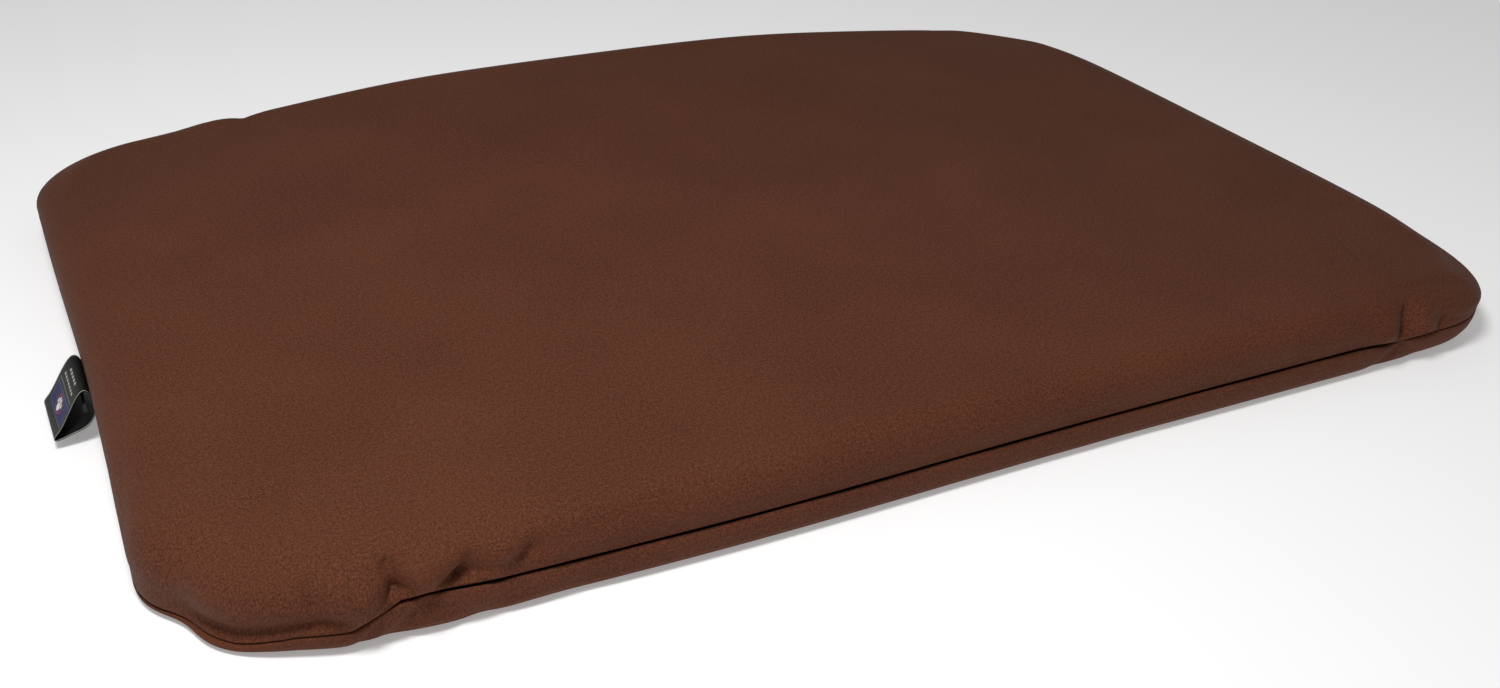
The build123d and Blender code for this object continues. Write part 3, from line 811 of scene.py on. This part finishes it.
def ribbon_design():
    """Black ribbon: two rows of woven dashes, a thin rule, and a panel with a ringed paw."""
    m = Nodes("label_ribbon_weave")
    where = m.add("ShaderNodeTexCoord").outputs["UV"]
    split = m.add("ShaderNodeSeparateXYZ")
    m.link(where, split.inputs[0])
    across, along = split.outputs["X"], split.outputs["Y"]

    def inside(source, low, high):
        above = m.calc("GREATER_THAN", source, low * MM)
        below = m.calc("LESS_THAN", source, high * MM)
        return m.calc("MULTIPLY", above, below)

    def box(left, right, low, high):
        return m.calc("MULTIPLY", inside(across, left, right), inside(along, low, high))

    def disc(x, y, wide, tall):
        dx = m.calc("DIVIDE", m.calc("SUBTRACT", across, x * MM), wide * MM)
        dy = m.calc("DIVIDE", m.calc("SUBTRACT", along, y * MM), tall * MM)
        radius = m.calc("ADD", m.calc("MULTIPLY", dx, dx), m.calc("MULTIPLY", dy, dy))
        return m.calc("LESS_THAN", radius, 1.0)

    def any_of(*masks):
        total = masks[0]
        for mask in masks[1:]:
            total = m.calc("MAXIMUM", total, mask)
        return total

    dashes = any_of(box(8, 37, 18.0, 19.4), box(11, 33, 13.6, 15.0))
    ripple = m.calc("SINE", m.calc("MULTIPLY", across, 1500.0), 0.0)
    gaps = m.calc("GREATER_THAN", ripple, -0.35)
    light = m.calc("MULTIPLY", dashes, gaps)
    rule = box(4.5, 40.5, 22.2, 22.8)
    panel = box(4.0, 41.0, 24.6, 36.4)
    border = m.calc("SUBTRACT", panel, box(4.6, 40.4, 25.2, 35.8))
    paw = any_of(
        disc(22.5, 32.2, 2.9, 2.1), disc(18.5, 30.2, 1.1, 1.4), disc(21.1, 28.6, 1.1, 1.5),
        disc(23.9, 28.6, 1.1, 1.5), disc(26.5, 30.2, 1.1, 1.4),
    )
    ring = m.calc("SUBTRACT", disc(22.5, 30.6, 7.4, 4.8), disc(22.5, 30.6, 6.7, 4.2))
    edge = any_of(box(0.3, 0.9, 0.0, 80.0), box(44.1, 44.7, 0.0, 80.0))
    colour = None
    layers = (
        (panel, linear(24, 30, 80)), (ring, linear(158, 40, 46)),
        (border, linear(78, 78, 112)), (paw, linear(226, 222, 220)),
        (rule, linear(104, 122, 104)), (light, linear(178, 178, 168)), (edge, linear(176, 176, 166)),
    )
    base = linear(17, 19, 18)
    for mask, tint in layers:
        mix = m.add("ShaderNodeMix", data_type="RGBA")
        m.link(mask, mix.inputs[0])
        if colour is None:
            mix.inputs[6].default_value = base
        else:
            m.link(colour, mix.inputs[6])
        mix.inputs[7].default_value = tint
        colour = mix.outputs[2]
    m.link(colour, m.shader.inputs["Base Color"])
    thread = m.calc("SINE", m.calc("MULTIPLY", across, 2 * math.pi / (0.28 * MM)), 0.0)
    pick = m.calc("SINE", m.calc("MULTIPLY", along, 2 * math.pi / (0.34 * MM)), 0.0)
    relief = m.add("ShaderNodeBump")
    relief.inputs["Strength"].default_value = 0.35
    relief.inputs["Distance"].default_value = 0.0002
    m.link(m.calc("MULTIPLY", thread, pick), relief.inputs["Height"])
    m.link(relief.outputs["Normal"], m.shader.inputs["Normal"])
    m.shader.inputs["Roughness"].default_value = 0.5
    m.shader.inputs["Specular IOR Level"].default_value = 0.25
    return m.material


label_weave = ribbon_design()


def build_label():
    path, length = smooth_path(LABEL_KNOTS, LABEL_ROWS)
    widths = np.linspace(0, 1, LABEL_LANES)
    points, uv = [], []
    for i, (out, height) in enumerate(path):
        t = i / (LABEL_ROWS - 1)
        fold = math.sin(math.pi * t)
        for w in widths:
            y = LABEL_BACK_Y + (LABEL_FRONT_Y - LABEL_BACK_Y) * w
            y += LABEL_SKEW * max(0.0, 1 - t / 0.5)
            curl = 0.7 * fold * (w - 0.5) ** 2 * 4
            twist = 1.6 * fold * (0.5 - w)
            x = -HALF_LENGTH - out - twist * 0.8
            points.append((x, y - 1.5 * fold, height + twist * 0.3 + curl))
            uv.append((LABEL_WIDTH * w, length * t))
    faces = []
    for i in range(LABEL_ROWS - 1):
        for j in range(LABEL_LANES - 1):
            a = i * LABEL_LANES + j
            faces.append((a, a + 1, a + LABEL_LANES + 1, a + LABEL_LANES))
    ribbon = mesh_object("label_ribbon", points, faces, label_weave, uv)
    solid = ribbon.modifiers.new("ribbon thickness", "SOLIDIFY")
    solid.thickness = 0.35 * MM
    solid.offset = 0.0
    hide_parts("label_loop")
    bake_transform(ribbon)
    return ribbon


build_label()

# ---- stitches and zip coils, made by node trees --------------------------------------------
class Tree:
    """A geometry node tree with named inputs."""

    def __init__(self, name, inputs):
        self.group = bpy.data.node_groups.new(name, "GeometryNodeTree")
        face = self.group.interface
        face.new_socket("Geometry", in_out="INPUT", socket_type="NodeSocketGeometry")
        self.sockets = {}
        for label, kind in inputs:
            self.sockets[label] = face.new_socket(label, in_out="INPUT", socket_type=kind).identifier
        face.new_socket("Geometry", in_out="OUTPUT", socket_type="NodeSocketGeometry")
        self.given = self.group.nodes.new("NodeGroupInput")
        self.result = self.group.nodes.new("NodeGroupOutput")

    def add(self, kind, values=(), **settings):
        node = self.group.nodes.new(kind)
        for key, value in settings.items():
            setattr(node, key, value)
        for label, value in dict(values).items():
            if hasattr(value, "links"):
                self.link(value, node.inputs[label])
            else:
                node.inputs[label].default_value = value
        return node

    def link(self, source, target):
        self.group.links.new(source, target)

    def end(self, geometry):
        """Realises the instances and gives them the piece's material."""
        solid = self.add("GeometryNodeRealizeInstances", {"Geometry": geometry})
        smooth_faces = self.add("GeometryNodeSetShadeSmooth", {"Geometry": solid.outputs[0]})
        finish = self.add(
            "GeometryNodeSetMaterial",
            {"Geometry": smooth_faces.outputs[0], "Material": self.given.outputs["Finish"]},
        )
        self.link(finish.outputs[0], self.result.inputs[0])

    def make(self, name, base, values):
        """Runs the tree on a base mesh and returns the result as a plain mesh object."""
        holder = bpy.data.objects.new(name + "_base", base)
        bpy.context.scene.collection.objects.link(holder)
        nodes = holder.modifiers.new("nodes", "NODES")
        nodes.node_group = self.group
        for label, value in values.items():
            nodes[self.sockets[label]] = value
        bpy.context.view_layer.update()
        seen = holder.evaluated_get(bpy.context.evaluated_depsgraph_get())
        mesh = bpy.data.meshes.new_from_object(seen)
        mesh.name = name
        bpy.data.objects.remove(holder)
        piece = bpy.data.objects.new(name, mesh)
        bpy.context.scene.collection.objects.link(piece)
        return piece


def stitch_tree():
    """Short rounded stitches, evenly spaced along a line of edges."""
    tree = Tree(
        "stitch_row",
        [("Pitch", "NodeSocketFloat"), ("Length", "NodeSocketFloat"),
         ("Thickness", "NodeSocketFloat"), ("Finish", "NodeSocketMaterial")],
    )
    given = tree.given.outputs
    line = tree.add("GeometryNodeMeshToCurve", {"Mesh": given["Geometry"]})
    spaced = tree.add("GeometryNodeResampleCurve", mode="LENGTH")
    tree.link(line.outputs[0], spaced.inputs["Curve"])
    tree.link(given["Pitch"], spaced.inputs["Length"])
    bead = tree.add("GeometryNodeMeshUVSphere", {"Segments": 6, "Rings": 5, "Radius": 0.5})
    size = tree.add("ShaderNodeCombineXYZ")
    tree.link(given["Length"], size.inputs["X"])
    tree.link(given["Thickness"], size.inputs["Y"])
    tree.link(given["Thickness"], size.inputs["Z"])
    along = tree.add("GeometryNodeInputTangent")
    turn = tree.add("FunctionNodeAlignRotationToVector", axis="X")
    tree.link(along.outputs[0], turn.inputs["Vector"])
    placed = tree.add(
        "GeometryNodeInstanceOnPoints",
        {"Points": spaced.outputs[0], "Instance": bead.outputs[0],
         "Rotation": turn.outputs[0], "Scale": size.outputs[0]},
    )
    tree.end(placed.outputs[0])
    return tree


def coil_tree():
    """A flattened spiral of round wire along X: one side of a coil zip."""
    tree = Tree(
        "zip_coil",
        [("Turns", "NodeSocketFloat"), ("Length", "NodeSocketFloat"), ("Wire", "NodeSocketFloat"),
         ("Width", "NodeSocketFloat"), ("Height", "NodeSocketFloat"),
         ("Start", "NodeSocketVector"), ("Finish", "NodeSocketMaterial")],
    )
    given = tree.given.outputs
    spiral = tree.add(
        "GeometryNodeCurveSpiral", {"Resolution": 12, "Start Radius": 0.5, "End Radius": 0.5}
    )
    tree.link(given["Turns"], spiral.inputs["Rotations"])
    tree.link(given["Length"], spiral.inputs["Height"])
    flat = tree.add("ShaderNodeCombineXYZ", {"Z": 1.0})
    tree.link(given["Height"], flat.inputs["X"])
    tree.link(given["Width"], flat.inputs["Y"])
    narrowed = tree.add(
        "GeometryNodeTransform", {"Geometry": spiral.outputs[0], "Scale": flat.outputs[0]}
    )
    laid = tree.add(
        "GeometryNodeTransform",
        {"Geometry": narrowed.outputs[0], "Rotation": (0.0, math.pi / 2, 0.0),
         "Translation": given["Start"]},
    )
    wire = tree.add("GeometryNodeCurvePrimitiveCircle", {"Resolution": 5})
    tree.link(given["Wire"], wire.inputs["Radius"])
    body = tree.add(
        "GeometryNodeCurveToMesh",
        {"Curve": laid.outputs[0], "Profile Curve": wire.outputs[0], "Fill Caps": True},
    )
    tree.end(body.outputs[0])
    return tree


def line_mesh(name, points, closed=False):
    """A base of edges only, for a stitch row to follow."""
    count = len(points)
    edges = [(i, i + 1) for i in range(count - 1)] + ([(count - 1, 0)] if closed else [])
    mesh = bpy.data.meshes.new(name + "_line")
    mesh.from_pydata((np.asarray(points) * MM).tolist(), edges, [])
    return mesh


def edge_line(plain, zipped):
    """A line round the cushion at one spot of its side profile, in millimetres."""
    points, spots, facings = rings([plain], [zipped])
    return shaped(points, facings, spots)[0], zip_share(spots, facings)


def stands_for(piece, node):
    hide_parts(node)
    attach(piece, "cushion")
    return piece


def stitch_row(name, points, pitch, length, thickness, finish, node, closed=False):
    values = {"Pitch": pitch * MM, "Length": length * MM, "Thickness": thickness * MM, "Finish": finish}
    return stands_for(stitches.make(name, line_mesh(name, points, closed), values), node)


stitches = stitch_tree()
coils = coil_tree()


ZIP_TRACE = 0.02         # share of zip below which the edge is sewn


def build_seams():
    line, share = edge_line((2.9, SEAM_Z), (2.9, SEAM_Z))
    seam = line[share <= ZIP_TRACE]
    stitch_row("seam_stitches", seam, 3.2, 2.7, 0.5, thread_brown, "seam_thread")
    liner_line, _ = edge_line((9.4, SEAM_Z), (15.4, SEAM_Z))
    stitch_row(
        "liner_seam_stitches", liner_line, 3.0, 2.6, 0.6, liner_white,
        "liner_seam_thread", closed=True,
    )


def build_zip_sewing():
    for side in ("upper", "lower"):
        low, high = (np.array(corner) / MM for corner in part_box("zip_sewing_" + side))
        middle = (low + high) / 2
        row = [(low[0], middle[1], middle[2]), (high[0], middle[1], middle[2])]
        stitch_row(
            "zip_stitches_" + side, row, 3.0, 2.5, 0.5, thread_brown,
            "zip_sewing_" + side,
        )
    for end in ("left", "right"):
        low, high = (np.array(corner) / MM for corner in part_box("zip_bar_tack_" + end))
        depth = (low[1] + high[1]) / 2
        passes = 14
        zigzag = [
            (low[0] + (high[0] - low[0]) * i / passes, depth, high[2] if i % 2 else low[2])
            for i in range(passes + 1)
        ]
        stitch_row(
            "bar_tack_" + end, zigzag, 0.7, 0.9, 0.35, thread_brown,
            "zip_bar_tack_" + end,
        )


COIL_PITCH = 1.5
COIL_WIRE = 0.3


def build_coils():
    for side in ("upper", "lower"):
        low, high = (np.array(corner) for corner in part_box("zip_coil_" + side))
        size = high - low
        shift = (0.25 if side == "upper" else -0.25) * COIL_PITCH * MM
        values = {
            "Turns": float(round((size[0] / MM - 1) / COIL_PITCH)), "Length": float(size[0] - MM),
            "Wire": COIL_WIRE * MM, "Width": float(size[1] - 2 * COIL_WIRE * MM),
            "Height": float(size[2] - 2 * COIL_WIRE * MM),
            "Start": (float(low[0] + MM / 2 + shift), *map(float, ((low + high) / 2)[1:])),
            "Finish": coil_nylon,
        }
        base = bpy.data.meshes.new("zip_coil_base")
        stands_for(coils.make("zip_coil_wire_" + side, base, values), "zip_coil_" + side)


build_seams()
build_zip_sewing()
build_coils()

# ---- carried-over pieces and their finishes ------------------------------------------------
FINISH = {
    "zip_tape_upper": tape_brown,
    "zip_tape_lower": tape_brown,
    "zip_slider_body": slider_paint,
    "zip_pull_tab": slider_paint,
    "zip_bottom_stop": stop_metal,
    "zip_top_stop_upper": stop_metal,
    "zip_top_stop_lower": stop_metal,
    "label_tail": ribbon_black,
}
for node_name, finish in FINISH.items():
    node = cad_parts[node_name]
    if not node.material_slots:
        node.data.materials.append(finish)
    for slot in node.material_slots:
        slot.material = finish

# ---- floor, light and camera ------------------------------------------------------------------
def plain_material(name, colour, roughness=0.9, glow=0.35):
    m = Nodes(name)
    m.shader.inputs["Base Color"].default_value = colour
    m.shader.inputs["Roughness"].default_value = roughness
    m.shader.inputs["Emission Color"].default_value = colour
    m.shader.inputs["Emission Strength"].default_value = glow
    return m.material


floor = mesh_object(
    "floor",
    [(-6000, -6000, -0.4), (6000, -6000, -0.4), (6000, 6000, -0.4), (-6000, 6000, -0.4)],
    [(0, 1, 2, 3)],
    plain_material("floor_white", (0.8, 0.8, 0.8, 1.0)),
)


def soft_light(name, place, target, size, power):
    data = bpy.data.lights.new(name, "AREA")
    data.shape = "RECTANGLE"
    data.size, data.size_y = size
    data.energy = power
    lamp = bpy.data.objects.new(name, data)
    bpy.context.scene.collection.objects.link(lamp)
    lamp.location = place
    lamp.rotation_euler = (Vector(target) - Vector(place)).to_track_quat("-Z", "Y").to_euler()


soft_light("front_softbox", (-0.52, -0.5, 1.2), (-0.1, -0.1, 0), (0.34, 0.34), 13.2)

world = bpy.data.worlds.new("studio")
bpy.context.scene.world = world
world.use_nodes = True
world.node_tree.nodes["Background"].inputs["Color"].default_value = (1, 1, 1, 1)
world.node_tree.nodes["Background"].inputs["Strength"].default_value = 0.24
bpy.context.scene.view_settings.view_transform = "Standard"

CAMERA_PLACE = (-0.464, -0.901, 0.500)
CAMERA_YAW = math.radians(27.8)
CAMERA_PITCH = math.radians(29.25)
CAMERA_ROLL = math.radians(2.31)
CAMERA_LENS = 37.32


def aim_camera():
    forward = Vector(
        (
            math.sin(CAMERA_YAW) * math.cos(CAMERA_PITCH),
            math.cos(CAMERA_YAW) * math.cos(CAMERA_PITCH),
            -math.sin(CAMERA_PITCH),
        )
    )
    right = Vector((math.cos(CAMERA_YAW), -math.sin(CAMERA_YAW), 0.0))
    up = right.cross(forward)
    right_rolled = math.cos(CAMERA_ROLL) * right + math.sin(CAMERA_ROLL) * up
    up_rolled = -math.sin(CAMERA_ROLL) * right + math.cos(CAMERA_ROLL) * up
    turn = Matrix((right_rolled, up_rolled, -forward)).transposed()
    data = bpy.data.cameras.new("camera")
    data.sensor_width = 36.0
    data.lens = CAMERA_LENS
    data.shift_y = -2.0 / 1500
    data.clip_end = 50.0
    camera = bpy.data.objects.new("camera", data)
    bpy.context.scene.collection.objects.link(camera)
    camera.matrix_world = Matrix.Translation(CAMERA_PLACE) @ turn.to_4x4()
    bpy.context.scene.camera = camera


aim_camera()
